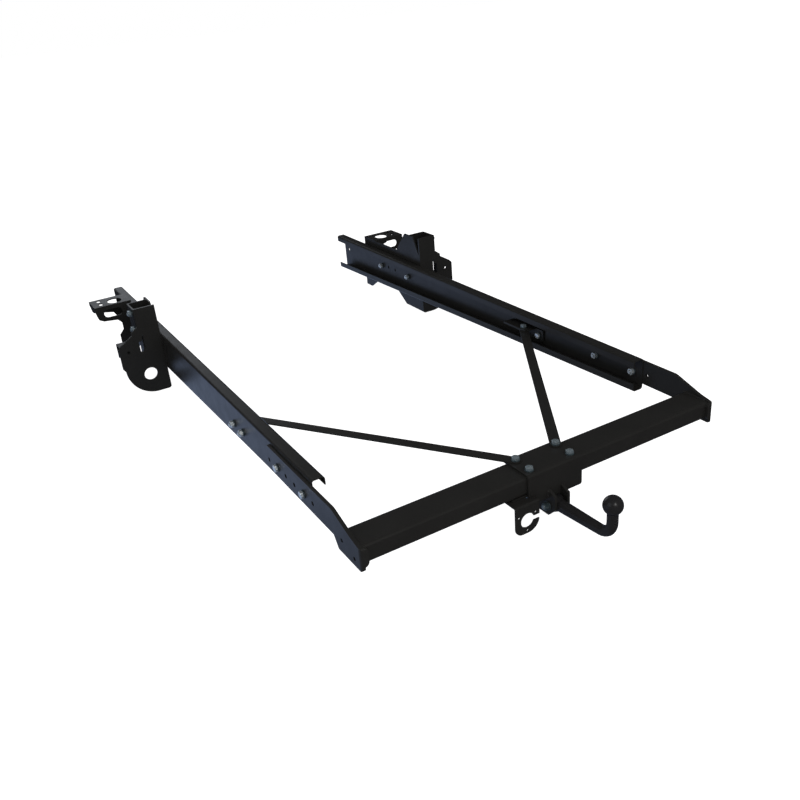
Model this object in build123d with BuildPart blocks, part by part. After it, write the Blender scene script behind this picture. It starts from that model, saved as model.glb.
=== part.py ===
from build123d import *
import os
from math import cos, hypot, radians, sin, sqrt, tan

# Towing hitch on two long chassis rails. Millimetres, +X right, +Y forward, +Z up.
# The origin is the centre of the coupling ball, and the vehicle's middle plane is x = 0.

# Coupling ball and swan neck
BALL_D = 50.0
BALL_FLAT = 23.5        # height of the flat on the ball's crown above its centre
NECK_D = 28.0           # under the ball and round the bend
SHANK_D = 34.0          # where the shank enters the cheeks
NECK_DROP = 98.0        # from the ball's centre down to the clamped tongue's middle
NECK_BEND = 42.0        # radius of the bend's centre line
SHANK_TILT = 3.1        # degrees that the shank climbs towards the ball
TONGUE_H = 44.0
TONGUE_LENGTH = 106.0
TONGUE_CORNER = 20.0

# Cross beam
BALL_SETBACK = 209.0    # from the ball's centre to the beam's rear face
BEAM_TOP = 6.0          # the beam's top face above the ball's centre
BEAM_DEPTH = 90.0
BEAM_HEIGHT = 50.0
BEAM_WALL = 5.0
BEAM_CORNER = 8.0

# Rails, lipped channels that open towards each other and grow taller to the front
RAIL_SPAN = 1108.0      # between the outer faces of the two webs
RAIL_GAP = 158.0        # from the beam's front face to the rails' rear ends
RAIL_LENGTH = 1943.0
RAIL_TOP = 57.0
RAIL_T = 3.0
RAIL_BEND = 8.0
RAIL_FLANGE = 38.0
RAIL_LIP = 25.0
RAIL_REAR_H = 101.0
RAIL_FRONT_H = 154.0
RAIL_END_HOLE_D = 12.0
RAIL_END_HOLE_IN = 39.0     # from the rail's front end
RAIL_END_HOLE_Z = -9.0
SPARE_HOLES = ((473.0, -10.7), (415.0, -11.7))      # back from the rail's front end, and height

# Side plates between the beam and the rails
PLATE_T = 10.0
PLATE_LENGTH = 525.0
PLATE_TOP = 46.0
PLATE_FOOT = -28.0
PLATE_HEEL = -58.0          # underside beneath the beam
PLATE_HEEL_LENGTH = 117.0
PLATE_STEP = 20.0           # length of the sloping step from the heel to the foot
PLATE_NECK_IN = 46.0        # from the plate's rear face to the lower end of its sloping top
PLATE_NECK_TOP = 15.5
PLATE_SLOPE = 90.0          # length of that slope
PLATE_REAR_TOP = 5.0
PLATE_CORNER = 10.0
PLATE_BEND = 10.2
PLATE_FLANGE = 21.0         # width of the flange bent round behind the beam
FLANGE_FOOT = -46.0
FLANGE_CORNER = 14.0
HOLE_PITCH = 54.0
HOLE_COUNT = 6
FIRST_HOLE_IN = 243.0       # from the plate's rear face
HOLE_ROW_Z = 3.0
BOLTED_HOLES = (1, 4)       # places in the row, counted from the rear, that hold bolts
MARKER_HOLE_D = 11.0
MARKER_HOLES = ((93.7, -20.5), (34.2, -37.4))   # in from the plate's rear face, and height

# Fasteners: one size of hexagon bolt, nut and washer all over
BOLT_D = 12.0
BOLT_AF = 19.0
BOLT_HEAD = 7.5
NUT_H = 10.5
WASHER_D = 24.0
WASHER_T = 2.5
BOLT_TIP = 4.0              # thread that stands out of a nut
BOLT_PLAY = 1.0             # a bolt hole is this much wider than the bolt
THREAD_PLAY = 0.2           # a nut's bore over the bolt's diameter
FOLD_R = 2.0                # inside radius of each folded plate

# Saddle, clamped over the middle of the beam
SADDLE_T = 6.0
SADDLE_W = 174.0
SADDLE_LIP = 3.0            # how far the saddle passes the beam's front face
SADDLE_FOOT = -75.0         # lower edge of the saddle's rear flange
SADDLE_BOLT_X = 131.0
SADDLE_BOLT_Y = 55.0
SLEEVE_D = 19.0
CLAMP_T = 6.0
CLAMP_LEFT = 132.0          # reach of the lower clamp plate to the left of the middle

# Cheeks that hold the neck's tongue
CHEEK_T = 8.0
CHEEK_OUT = 26.0            # how far the cheeks stand out behind the saddle
CHEEK_FOOT = -126.0
CHEEK_REAR_TOP = -63.0
CHEEK_CORNER = 25.0
CHEEK_FRONT_CORNER = 12.0
CHEEK_SLOT_PLAY = 0.5
NECK_BOLT_IN = 27.0         # from the cheeks' rear edge to the first bolt
NECK_BOLT_PITCH = 66.0

# Socket plate, which swings under the beam about an upright bolt
SOCKET_T = 4.0
SOCKET_OUT = 20.0           # from the saddle's rear face back to the socket plate's
SOCKET_X = -106.5           # centre of the socket's hole
SOCKET_Z = -98.0
SOCKET_HOLE_D = 41.0
SOCKET_R = 37.5             # half the plate's width
SOCKET_CORNER = 22.0
SOCKET_ROUND = 35.5         # the plate's lower corner under the slot
SOCKET_SLOT = 13.5
SOCKET_SCREW_PCD = 60.0
SOCKET_SCREW_D = 6.6
SOCKET_BEND = 6.0
SOCKET_LUG = 16.0           # level part of the plate before its edge slopes to the pivot
PIVOT_X = -112.0
PIVOT_IN = 33.0             # from the beam's rear face to the pivot
PIVOT_D = 10.0
PIVOT_PLAY = 0.1
PIVOT_EYE_R = 20.0
PIVOT_HEAD_D = 19.0
PIVOT_WASHER_D = 22.0
PIVOT_WASHER_T = 2.0
PIVOT_NUT_AF = 17.0
PIVOT_NUT_H = 9.0

# Braces and the angles that hold them in the rails
BRACE_W = 30.0
BRACE_T = 4.0
BRACE_FLAT = 30.0           # level length of a brace beyond the bolt at each end
BRACE_BEND = 20.0
BRACE_BOLT_IN = 38.0        # from the rail's outer face in to the brace's bolt
ANGLE_T = 6.0
ANGLE_SHELF_Z = 4.0         # underside of the angle's shelf, on which the brace lies from below
ANGLE_DEPTH = 52.0
ANGLE_LEG = 44.0
ANGLE_IN = 457.0            # from the rail's rear end to the angle
ANGLE_LENGTH = 162.0
ANGLE_SHELF_IN = 41.0       # from the angle's rear end to its shelf
ANGLE_BOLT_IN = 24.0        # from the angle's rear end to its first bolt
ANGLE_BOLT_PITCH = 72.0
ANGLE_BOLT_Z = -14.0
BRACE_BOLT_ALONG = 71.0     # from the angle's rear end to the brace's bolt

# Chassis brackets at the front
BRACKET_T = 6.0
BRACKET_FOOT = -148.0
BRACKET_FOOT_LENGTH = 132.0
BRACKET_TAPER = 70.0        # length of each slope in the bracket's lower edge
BRACKET_WAIST = -100.0
BRACKET_TOE = -144.0
BRACKET_NOSE = 118.0        # from the arm's rear face to the bracket's front edge
BRACKET_NOSE_TOP = 50.0
HORN_LENGTH = 107.0         # top of the bracket's horn behind the hood
HORN_SLOPE = 78.0
HORN_REAR_IN = 42.0
HORN_REAR_FOOT = 95.0
CHASSIS_BOLTS = ((582.0, -15.0), (357.0, -16.0))    # back from the rail's front end, and height

# Towing eye plates
EYE_T = 8.0
EYE_BACK = 685.0            # from the rail's front end back to the eye plate's rear face
EYE_X = 63.0                # eye's centre, out from the rail's web
EYE_Z = -80.0
EYE_D = 48.0
EYE_ROUND_X = 44.0          # centre of the plate's round lower edge
EYE_ROUND_Z = -50.0
EYE_ROUND_R = 103.0
EYE_REACH = 155.0
EYE_EDGE_TOP = 38.0
EYE_CORNER = 12.0
EYE_STEP_W = 99.0
EYE_STEP_TOP = 87.0
EYE_STEP_H = 10.0
EYE_TONGUE_FOOT = 104.0
EYE_TONGUE_TOP = 170.0
EYE_TONGUE_W = 76.0
EYE_SCREW_D = 11.0
EYE_SCREW_X = 123.0
EYE_SCREW_Z = 20.0
EYE_WINDOW = ((62.0, 75.0), (70.0, 51.0), (81.0, 50.0), (80.0, 10.0), (71.0, 10.0), (62.0, 25.0))

# Hoods, gussets and ledges in front of the eye plates
HOOD_W = 77.0
HOOD_LENGTH = 78.0
HOOD_FOOT = 75.0
HOOD_BOLT_IN = 22.0         # from the eye plate's front face
HOOD_BOLT_Z = (90.0, 150.0)
GUSSET_X = 55.0             # inner face of the gusset, out from the web
GUSSET_LENGTH = 78.0
GUSSET_TOP = 70.0
GUSSET_EDGE = 20.0          # half the height of the gusset's front edge
GUSSET_FOOT = -50.0
LEDGE_TOP = 43.0
LEDGE_LENGTH = 57.0
LEDGE_X = 104.0             # from the rail's web out to the ledge
LEDGE_W = 45.0
LEDGE_FLANGE_FOOT = -12.0   # lower edge of the flange at the ledge's front

# Arms that reach out over the side plates to the chassis
ARM_TOP = 87.0
ARM_BACK = 305.0            # from the rail's front end back to the arm's rear face
ARM_LENGTH = 100.0
ARM_REACH = 142.0
ARM_T = 4.0
ARM_EDGE_FOOT = 68.0
ARM_DROP = (                # free edge of the arm's drop, out from the web and height
    (139.0, 52.0), (134.0, 36.0), (118.0, 27.0), (66.0, 21.0), (52.0, 6.0), (52.0, -22.0),
    (70.0, -42.0), (70.0, -84.0),
)
ARM_FLANGE = (              # lower edge of the flange at the arm's outer end, from its rear face and height
    (38.0, 57.0), (66.0, 55.0), (78.0, 60.0), (88.0, 68.0),
)
ARM_HOLE_W = 54.0
ARM_HOLE_L = 62.0
ARM_HOLE_X = 55.0
ARM_HOLE_IN = 43.0          # from the arm's rear face
ARM_SCREW_W = 14.0
ARM_SCREW_L = 28.0
ARM_SCREW_X = 110.0
ARM_SCREW_IN = 53.5         # from the arm's rear face to the middle of the two screw slots
ARM_SCREW_PITCH = 43.0
ARM_SLOT_X = 76.0
ARM_SLOT_Z = 55.0
ARM_SLOT_L = 70.0
ARM_SLOT_H = 32.0
ARM_WEB = (                 # lower edge of the web under the arm's front edge, out from the rail and height
    (122.0, 45.0), (107.0, 35.0), (92.0, 31.0), (58.0, 24.0), (49.0, 8.0), (49.0, -8.0), (36.0, -22.0),
)
ARM_WEB_EDGE = 70.0         # foot of the web's outer end
ARM_WEB_OPEN = (36.0, 114.0, 52.0)      # open middle: its two sides, out from the rail, and its foot

# Places that follow from the sizes above
WEB_X = RAIL_SPAN / 2
beam_front = BALL_SETBACK + BEAM_DEPTH
beam_middle = BALL_SETBACK + BEAM_DEPTH / 2
beam_foot = BEAM_TOP - BEAM_HEIGHT
rail_rear = beam_front + RAIL_GAP
rail_front = rail_rear + RAIL_LENGTH
rail_rise = RAIL_FRONT_H - RAIL_REAR_H
web_inner = WEB_X - RAIL_T
plate_rear = BALL_SETBACK - PLATE_T
plate_outer = WEB_X + PLATE_T
saddle_top = BEAM_TOP + SADDLE_T
saddle_rear = BALL_SETBACK - SADDLE_T
cheek_rear = saddle_rear - CHEEK_OUT
neck_bolt_y = (cheek_rear + NECK_BOLT_IN, cheek_rear + NECK_BOLT_IN + NECK_BOLT_PITCH)
socket_rear = saddle_rear - SOCKET_OUT
pivot_y = BALL_SETBACK + PIVOT_IN
clamp_foot = beam_foot - CLAMP_T
angle_rear = rail_rear + ANGLE_IN
angle_bolt_y = (angle_rear + ANGLE_BOLT_IN, angle_rear + ANGLE_BOLT_IN + ANGLE_BOLT_PITCH)
brace_bolt_x = WEB_X - BRACE_BOLT_IN
brace_bolt_y = angle_rear + BRACE_BOLT_ALONG
bracket_outer = WEB_X + BRACKET_T
eye_rear = rail_front - EYE_BACK
eye_front = eye_rear + EYE_T
arm_rear = rail_front - ARM_BACK
arm_front = arm_rear + ARM_LENGTH
bolt_hole_r = (BOLT_D + BOLT_PLAY) / 2

os.makedirs("parts", exist_ok=True)


def keep(piece, node):
    """Label a finished piece and write it as its own file."""
    piece.label = node
    export_step(piece, f"parts/{node}.step")


def keep_pair(right_piece, name):
    """Write a right-hand piece and its reflection on the vehicle's left."""
    with BuildPart() as twin:
        mirror(right_piece, about=Plane.YZ)
    keep(right_piece, "right_" + name)
    keep(twin.part, "left_" + name)


def group(piece, spots):
    """One solid of the piece at each spot, all in one node."""
    with BuildPart() as copies:
        with Locations(*spots):
            add(piece)
    return copies.part


def upright(x, y, z, way=1):
    """A spot with its axis along Z: way is 1 for up and -1 for down."""
    return Plane(origin=(x, y, z), x_dir=(1, 0, 0), z_dir=(0, 0, way))


def crosswise(x, y, z, way=1):
    """A spot with its axis along X: way is 1 towards +X and -1 towards -X."""
    return Plane(origin=(x, y, z), x_dir=(0, 1, 0), z_dir=(way, 0, 0))


def hexagon(across_flats, height, bore=0.0):
    """A hexagonal head or nut that stands on z = 0, with its corners turned off on top."""
    corner_r = across_flats / sqrt(3)
    flat_r = 0.48 * across_flats
    crown = (corner_r - flat_r) * tan(radians(30))
    with BuildPart() as head:
        with BuildSketch():
            RegularPolygon(radius=corner_r, side_count=6)
            if bore > 0:
                Circle(bore / 2, mode=Mode.SUBTRACT)
        extrude(amount=height)
        with BuildSketch(Plane.XZ):
            with BuildLine():
                Polyline(
                    (0, 0), (corner_r, 0), (corner_r, height - crown), (flat_r, height), (0, height),
                    close=True,
                )
            make_face()
        revolve(axis=Axis.Z, mode=Mode.INTERSECT)
    return head.part


def bolt(grip, shank_d=BOLT_D, across_flats=BOLT_AF, head=BOLT_HEAD):
    """A hexagon bolt: its head stands on z = 0 and its shank hangs below."""
    with BuildPart() as body:
        add(hexagon(across_flats, head))
        with BuildSketch():
            Circle(shank_d / 2)
        extrude(amount=-grip)
        tip = body.edges().filter_by(GeomType.CIRCLE).sort_by(Axis.Z)[0]
        chamfer(tip, shank_d / 10)
    return body.part


def washer(outer_d=WASHER_D, bore_d=BOLT_D + BOLT_PLAY, thickness=WASHER_T):
    """A flat washer that lies on z = 0."""
    with BuildPart() as ring:
        with BuildSketch():
            Circle(outer_d / 2)
            Circle(bore_d / 2, mode=Mode.SUBTRACT)
        extrude(amount=thickness)
    return ring.part


def joint_of(grip, heads, name):
    """Bolts, two washers each and nuts that clamp a stack of plates as thick as grip.

    Each of heads is the spot where a bolt's upper washer lies, with its axis pointing out.
    """
    far = [spot.offset(-grip) for spot in heads]
    under_head = [spot.offset(WASHER_T) for spot in heads]
    below = [Plane(origin=spot.origin, x_dir=spot.x_dir, z_dir=-spot.z_dir) for spot in far]
    nut_seat = [spot.offset(WASHER_T) for spot in below]
    shank = grip + 2 * WASHER_T + NUT_H + BOLT_TIP
    keep(group(bolt(shank), under_head), name + "_bolts")
    keep(group(washer(), heads + below), name + "_washers")
    keep(group(hexagon(BOLT_AF, NUT_H, BOLT_D + THREAD_PLAY), nut_seat), name + "_nuts")


# Ball and neck, one forging
turn = 90 - SHANK_TILT
shank_end_y = cheek_rear + TONGUE_CORNER
shank_start_y = NECK_BEND * (1 - cos(radians(turn)))
shank_rise = (shank_end_y - shank_start_y) * tan(radians(SHANK_TILT))
bend_z = -NECK_DROP + shank_rise + NECK_BEND * sin(radians(turn))
shank_way = (0, cos(radians(SHANK_TILT)), -sin(radians(SHANK_TILT)))
with BuildPart() as ball_neck:
    Sphere(BALL_D / 2)
    with Locations((0, 0, BALL_FLAT)):
        Box(BALL_D, BALL_D, BALL_D, align=(Align.CENTER, Align.CENTER, Align.MIN), mode=Mode.SUBTRACT)
    with BuildSketch(Plane.XY.offset(bend_z)):
        Circle(NECK_D / 2)
    extrude(amount=-bend_z)
    with BuildSketch(Plane.XY.offset(bend_z)):
        Circle(NECK_D / 2)
    revolve(axis=Axis((0, NECK_BEND, bend_z), (1, 0, 0)), revolution_arc=turn)
    shank_start_z = bend_z - NECK_BEND * sin(radians(turn))
    with BuildSketch(Plane(origin=(0, shank_start_y, shank_start_z), x_dir=(1, 0, 0), z_dir=shank_way)):
        Circle(NECK_D / 2)
    with BuildSketch(Plane(origin=(0, shank_end_y, -NECK_DROP), x_dir=(1, 0, 0), z_dir=shank_way)):
        Circle(SHANK_D / 2)
    loft()
    with BuildSketch(Plane.YZ.offset(-SHANK_D / 2)):
        with Locations((cheek_rear + TONGUE_CORNER / 2 + TONGUE_LENGTH / 2, -NECK_DROP)):
            RectangleRounded(TONGUE_LENGTH, TONGUE_H, TONGUE_CORNER)
    extrude(amount=SHANK_D)
    with BuildSketch(Plane.YZ.offset(-SHANK_D)):
        with Locations(*[(y, -NECK_DROP) for y in neck_bolt_y]):
            Circle(bolt_hole_r)
    extrude(amount=2 * SHANK_D, mode=Mode.SUBTRACT)
keep(ball_neck.part, "ball_neck")

# Cheeks, welded under the lower clamp plate and against the saddle's rear flange
cheek_x = SHANK_D / 2
with BuildPart() as right_cheek:
    with BuildSketch(Plane.YZ.offset(cheek_x)) as outline:
        with BuildLine():
            Polyline(
                (cheek_rear, CHEEK_FOOT), (beam_front, CHEEK_FOOT), (beam_front, clamp_foot),
                (saddle_rear, clamp_foot), (cheek_rear, CHEEK_REAR_TOP), close=True,
            )
        make_face()
        chamfer(outline.vertices().group_by(Axis.Y)[0].sort_by(Axis.X)[0], CHEEK_CORNER)
        fillet(outline.vertices().group_by(Axis.Y)[0].sort_by(Axis.X)[-1], CHEEK_FRONT_CORNER)
        with Locations(((saddle_rear + BALL_SETBACK) / 2, SADDLE_FOOT - CHEEK_SLOT_PLAY)):
            Rectangle(
                SADDLE_T, clamp_foot - SADDLE_FOOT + 2 * CHEEK_SLOT_PLAY,
                align=(Align.CENTER, Align.MIN), mode=Mode.SUBTRACT,
            )
        with Locations(*[(y, -NECK_DROP) for y in neck_bolt_y]):
            Circle(bolt_hole_r, mode=Mode.SUBTRACT)
    extrude(amount=CHEEK_T)
keep_pair(right_cheek.part, "cheek")
neck_spots = [crosswise(cheek_x + CHEEK_T, y, -NECK_DROP) for y in neck_bolt_y]
joint_of(2 * (cheek_x + CHEEK_T), neck_spots, "neck")

# Cross beam, a rectangular tube cut square at both ends
saddle_bolt_xy = [
    (x, beam_middle + y)
    for x in (-SADDLE_BOLT_X / 2, SADDLE_BOLT_X / 2)
    for y in (-SADDLE_BOLT_Y / 2, SADDLE_BOLT_Y / 2)
]
with BuildPart() as cross_beam:
    with BuildSketch(Plane.YZ.offset(-WEB_X)):
        with Locations((beam_middle, BEAM_TOP - BEAM_HEIGHT / 2)):
            RectangleRounded(BEAM_DEPTH, BEAM_HEIGHT, BEAM_CORNER)
            RectangleRounded(
                BEAM_DEPTH - 2 * BEAM_WALL, BEAM_HEIGHT - 2 * BEAM_WALL, BEAM_CORNER - BEAM_WALL,
                mode=Mode.SUBTRACT,
            )
    extrude(amount=RAIL_SPAN)
    with BuildSketch(Plane.XY.offset(beam_foot)):
        with Locations(*saddle_bolt_xy):
            Circle(bolt_hole_r)
    extrude(amount=BEAM_HEIGHT, mode=Mode.SUBTRACT)
keep(cross_beam.part, "cross_beam")

# Sleeves that stop the clamping bolts from crushing the tube
sleeve = washer(SLEEVE_D, BOLT_D + BOLT_PLAY, BEAM_HEIGHT - 2 * BEAM_WALL)
sleeve_spots = [upright(x, y, beam_foot + BEAM_WALL) for x, y in saddle_bolt_xy]
keep(group(sleeve, sleeve_spots), "beam_sleeves")

# Saddle, folded over the beam's top and rear faces
with BuildPart() as saddle:
    with BuildSketch(Plane.YZ.offset(-SADDLE_W / 2)):
        with BuildLine():
            back = FilletPolyline(
                (saddle_rear, SADDLE_FOOT), (saddle_rear, saddle_top),
                (beam_front + SADDLE_LIP, saddle_top),
                radius=SADDLE_T + FOLD_R,
            )
            offset(back, amount=SADDLE_T, side=Side.RIGHT)
        make_face()
    extrude(amount=SADDLE_W)
    corners = saddle.edges().filter_by(Axis.Y).group_by(Axis.Z)[0]
    fillet(corners, SADDLE_T)
    with BuildSketch(Plane.XY.offset(BEAM_TOP)):
        with Locations(*saddle_bolt_xy):
            Circle(bolt_hole_r)
    extrude(amount=SADDLE_T, mode=Mode.SUBTRACT)
keep(saddle.part, "saddle_plate")

# Lower clamp plate, longer on the left to carry the socket plate's pivot
with BuildPart() as clamp:
    with BuildSketch(Plane.XY.offset(clamp_foot)):
        with BuildLine():
            Polyline(
                (-CLAMP_LEFT, BALL_SETBACK), (SADDLE_W / 2, BALL_SETBACK),
                (SADDLE_W / 2, beam_front), (-CLAMP_LEFT, beam_front), close=True,
            )
        make_face()
        with Locations(*saddle_bolt_xy):
            Circle(bolt_hole_r, mode=Mode.SUBTRACT)
    extrude(amount=CLAMP_T)
    with Locations(upright(PIVOT_X, pivot_y, beam_foot)):
        CounterSinkHole((PIVOT_D + PIVOT_PLAY) / 2, PIVOT_HEAD_D / 2, CLAMP_T)
keep(clamp.part, "lower_clamp_plate")
saddle_grip = saddle_top - clamp_foot
brace_spots = [upright(x, y, saddle_top + BRACE_T) for x, y in saddle_bolt_xy if y > beam_middle]
rear_spots = [upright(x, y, saddle_top) for x, y in saddle_bolt_xy if y < beam_middle]
joint_of(saddle_grip, rear_spots, "saddle_rear")
joint_of(saddle_grip + BRACE_T, brace_spots, "saddle_front")

# Socket plate with its lug under the clamp plate, and the upright pivot bolt
socket_top = clamp_foot
socket_front = socket_rear + SOCKET_T
with BuildPart() as socket_plate:
    with BuildSketch(Plane.XZ.offset(-socket_rear)) as face:
        with Locations((SOCKET_X, socket_top)):
            Rectangle(
                2 * SOCKET_R, socket_top - SOCKET_Z + SOCKET_R, align=(Align.CENTER, Align.MAX)
            )
        low = face.vertices().group_by(Axis.Y)[0].sort_by(Axis.X)
        fillet(low[0], SOCKET_CORNER)
        fillet(face.vertices().group_by(Axis.Y)[0].sort_by(Axis.X)[-1], SOCKET_ROUND)
        with Locations((SOCKET_X, SOCKET_Z)):
            Circle(SOCKET_HOLE_D / 2, mode=Mode.SUBTRACT)
            Rectangle(
                2 * SOCKET_R, SOCKET_SLOT, align=(Align.MIN, Align.CENTER), mode=Mode.SUBTRACT
            )
            with PolarLocations(SOCKET_SCREW_PCD / 2, 3, start_angle=30):
                Circle(SOCKET_SCREW_D / 2, mode=Mode.SUBTRACT)
    extrude(amount=-SOCKET_T)
    with BuildSketch(Plane.XY.offset(socket_top - SOCKET_T)):
        left = SOCKET_X - SOCKET_R
        right = SOCKET_X + SOCKET_R
        with BuildLine():
            Polyline(
                (left, socket_rear), (right, socket_rear), (right, socket_rear + SOCKET_LUG),
                (PIVOT_X + PIVOT_EYE_R, saddle_rear), (PIVOT_X + PIVOT_EYE_R, pivot_y),
                (left, pivot_y), close=True,
            )
        make_face()
        with Locations((PIVOT_X, pivot_y)):
            Circle(PIVOT_EYE_R)
    extrude(amount=SOCKET_T)
    with BuildSketch(Plane.XY.offset(socket_top - SOCKET_T)):
        with Locations((PIVOT_X, pivot_y)):
            Circle((PIVOT_D + PIVOT_PLAY) / 2)
    extrude(amount=SOCKET_T, mode=Mode.SUBTRACT)
    fold = socket_plate.edges().filter_by(Axis.X).group_by(Axis.Z)[-1].sort_by(Axis.Y)[0]
    fillet(fold, SOCKET_BEND)
keep(socket_plate.part, "socket_plate")

with BuildPart() as pivot_bolt:
    with BuildSketch(Plane.XZ):
        with BuildLine():
            head_r = PIVOT_HEAD_D / 2
            shank_r = PIVOT_D / 2
            length = CLAMP_T + SOCKET_T + PIVOT_WASHER_T + PIVOT_NUT_H + BOLT_TIP
            Polyline(
                (0, 0), (head_r - PIVOT_PLAY, 0), (shank_r, shank_r - head_r + PIVOT_PLAY),
                (shank_r, 1 - length), (shank_r - 1, -length), (0, -length), close=True,
            )
        make_face()
    revolve(axis=Axis.Z)
keep(group(pivot_bolt.part, [upright(PIVOT_X, pivot_y, beam_foot)]), "socket_pivot_bolt")
lug_foot = socket_top - SOCKET_T
pivot_washer = washer(PIVOT_WASHER_D, PIVOT_D + BOLT_PLAY / 2, PIVOT_WASHER_T)
keep(group(pivot_washer, [upright(PIVOT_X, pivot_y, lug_foot, -1)]), "socket_pivot_washer")
pivot_nut = hexagon(PIVOT_NUT_AF, PIVOT_NUT_H, PIVOT_D + THREAD_PLAY)
pivot_nut_spot = upright(PIVOT_X, pivot_y, lug_foot - PIVOT_WASHER_T, -1)
keep(group(pivot_nut, [pivot_nut_spot]), "socket_pivot_nut")

# Rails
hole_row = [plate_rear + FIRST_HOLE_IN + HOLE_PITCH * place for place in range(HOLE_COUNT)]
bolted_row = [hole_row[place] for place in BOLTED_HOLES]
chassis_bolts = [(rail_front - back, z) for back, z in CHASSIS_BOLTS]
rail_foot_rear = RAIL_TOP - RAIL_REAR_H
rail_foot_front = RAIL_TOP - RAIL_FRONT_H
flange_x = WEB_X - RAIL_FLANGE
with BuildPart() as right_rail:
    with BuildSketch(Plane.YZ.offset(WEB_X)):
        with BuildLine():
            Polyline(
                (rail_rear, RAIL_TOP - RAIL_BEND), (rail_front, RAIL_TOP - RAIL_BEND),
                (rail_front, rail_foot_front + RAIL_BEND), (rail_rear, rail_foot_rear + RAIL_BEND),
                close=True,
            )
        make_face()
    extrude(amount=-RAIL_T)
    with BuildSketch(Plane.XZ.offset(-rail_rear)):
        with BuildLine():
            upper = FilletPolyline(
                (flange_x, RAIL_TOP - RAIL_LIP), (flange_x, RAIL_TOP), (WEB_X, RAIL_TOP),
                (WEB_X, RAIL_TOP - RAIL_LIP), radius=RAIL_BEND,
            )
            offset(upper, amount=RAIL_T, side=Side.RIGHT)
        make_face()
    extrude(amount=-RAIL_LENGTH)
    with BuildSketch(Plane.XZ.offset(-rail_rear)):
        with BuildLine():
            lower = FilletPolyline(
                (flange_x, rail_foot_rear + RAIL_LIP), (flange_x, rail_foot_rear),
                (WEB_X, rail_foot_rear), (WEB_X, rail_foot_rear + RAIL_LIP), radius=RAIL_BEND,
            )
            offset(lower, amount=RAIL_T, side=Side.LEFT)
        make_face()
    extrude(amount=hypot(RAIL_LENGTH, rail_rise), dir=(0, RAIL_LENGTH, -rail_rise))
    with BuildSketch(Plane.YZ.offset(WEB_X)):
        with Locations(*[(y, HOLE_ROW_Z) for y in bolted_row]):
            Circle(bolt_hole_r)
        with Locations(*chassis_bolts):
            Circle(bolt_hole_r)
        with Locations(*[(rail_front - back, z) for back, z in SPARE_HOLES]):
            Circle(bolt_hole_r)
        with Locations(*[(y, ANGLE_BOLT_Z) for y in angle_bolt_y]):
            Circle(bolt_hole_r)
        with Locations((rail_front - RAIL_END_HOLE_IN, RAIL_END_HOLE_Z)):
            Circle(RAIL_END_HOLE_D / 2)
    extrude(amount=-RAIL_T, mode=Mode.SUBTRACT)
keep_pair(right_rail.part, "rail")

# Side plates, welded to the beam's ends and bolted to the rails
plate_front = plate_rear + PLATE_LENGTH
heel_end = plate_rear + PLATE_HEEL_LENGTH
neck_end = plate_rear + PLATE_NECK_IN
with BuildPart() as right_plate:
    with BuildSketch(Plane.XY.offset(PLATE_HEEL)):
        with BuildLine():
            bent = FilletPolyline(
                (plate_outer - PLATE_FLANGE, plate_rear), (plate_outer, plate_rear),
                (plate_outer, plate_front), radius=PLATE_BEND,
            )
            offset(bent, amount=PLATE_T, side=Side.LEFT)
        make_face()
    extrude(amount=PLATE_TOP - PLATE_HEEL)
    with BuildSketch(Plane.YZ.offset(plate_outer - PLATE_FLANGE)) as profile:
        with BuildLine():
            Polyline(
                (plate_rear, PLATE_HEEL), (heel_end, PLATE_HEEL), (heel_end + PLATE_STEP, PLATE_FOOT),
                (plate_front, PLATE_FOOT), (plate_front, PLATE_TOP), (neck_end + PLATE_SLOPE, PLATE_TOP),
                (neck_end, PLATE_NECK_TOP), (plate_rear, PLATE_REAR_TOP), close=True,
            )
        make_face()
        outline = profile.vertices()
        slope_ends = outline.filter_by_position(Axis.X, neck_end, neck_end + PLATE_SLOPE)
        fillet(slope_ends.filter_by_position(Axis.Y, PLATE_NECK_TOP, PLATE_TOP), 3 * PLATE_CORNER)
        step_ends = outline.filter_by_position(Axis.X, heel_end, heel_end + PLATE_STEP)
        fillet(step_ends.group_by(Axis.Y)[0], PLATE_CORNER)
        fillet(profile.vertices().group_by(Axis.X)[0], PLATE_CORNER)
        fillet(profile.vertices().group_by(Axis.X)[-1].sort_by(Axis.Y)[-1], PLATE_CORNER)
        with Locations(*[(y, HOLE_ROW_Z) for y in hole_row]):
            Circle(bolt_hole_r, mode=Mode.SUBTRACT)
        with Locations(*[(plate_rear + y, z) for y, z in MARKER_HOLES]):
            Circle(MARKER_HOLE_D / 2, mode=Mode.SUBTRACT)
    extrude(amount=PLATE_FLANGE, mode=Mode.INTERSECT)
    with BuildSketch(Plane.XZ.offset(-plate_rear)) as rear_view:
        with Locations((plate_outer, FLANGE_FOOT)):
            Rectangle(PLATE_FLANGE, PLATE_REAR_TOP - FLANGE_FOOT, align=(Align.MAX, Align.MIN))
        inner = rear_view.vertices().group_by(Axis.X)[0].sort_by(Axis.Y)
        fillet(inner[0], FLANGE_CORNER)
        fillet(rear_view.vertices().group_by(Axis.Y)[-1].sort_by(Axis.X)[0], PLATE_CORNER)
        with Locations((plate_outer, PLATE_HEEL)):
            Rectangle(PLATE_T, PLATE_TOP - PLATE_HEEL, align=(Align.MAX, Align.MIN))
    extrude(amount=-PLATE_LENGTH, mode=Mode.INTERSECT)
keep_pair(right_plate.part, "side_plate")
plate_heads = [crosswise(plate_outer, y, HOLE_ROW_Z) for y in bolted_row]
plate_heads += [crosswise(-plate_outer, y, HOLE_ROW_Z, -1) for y in bolted_row]
joint_of(plate_outer - web_inner, plate_heads, "side_plate")

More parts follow.
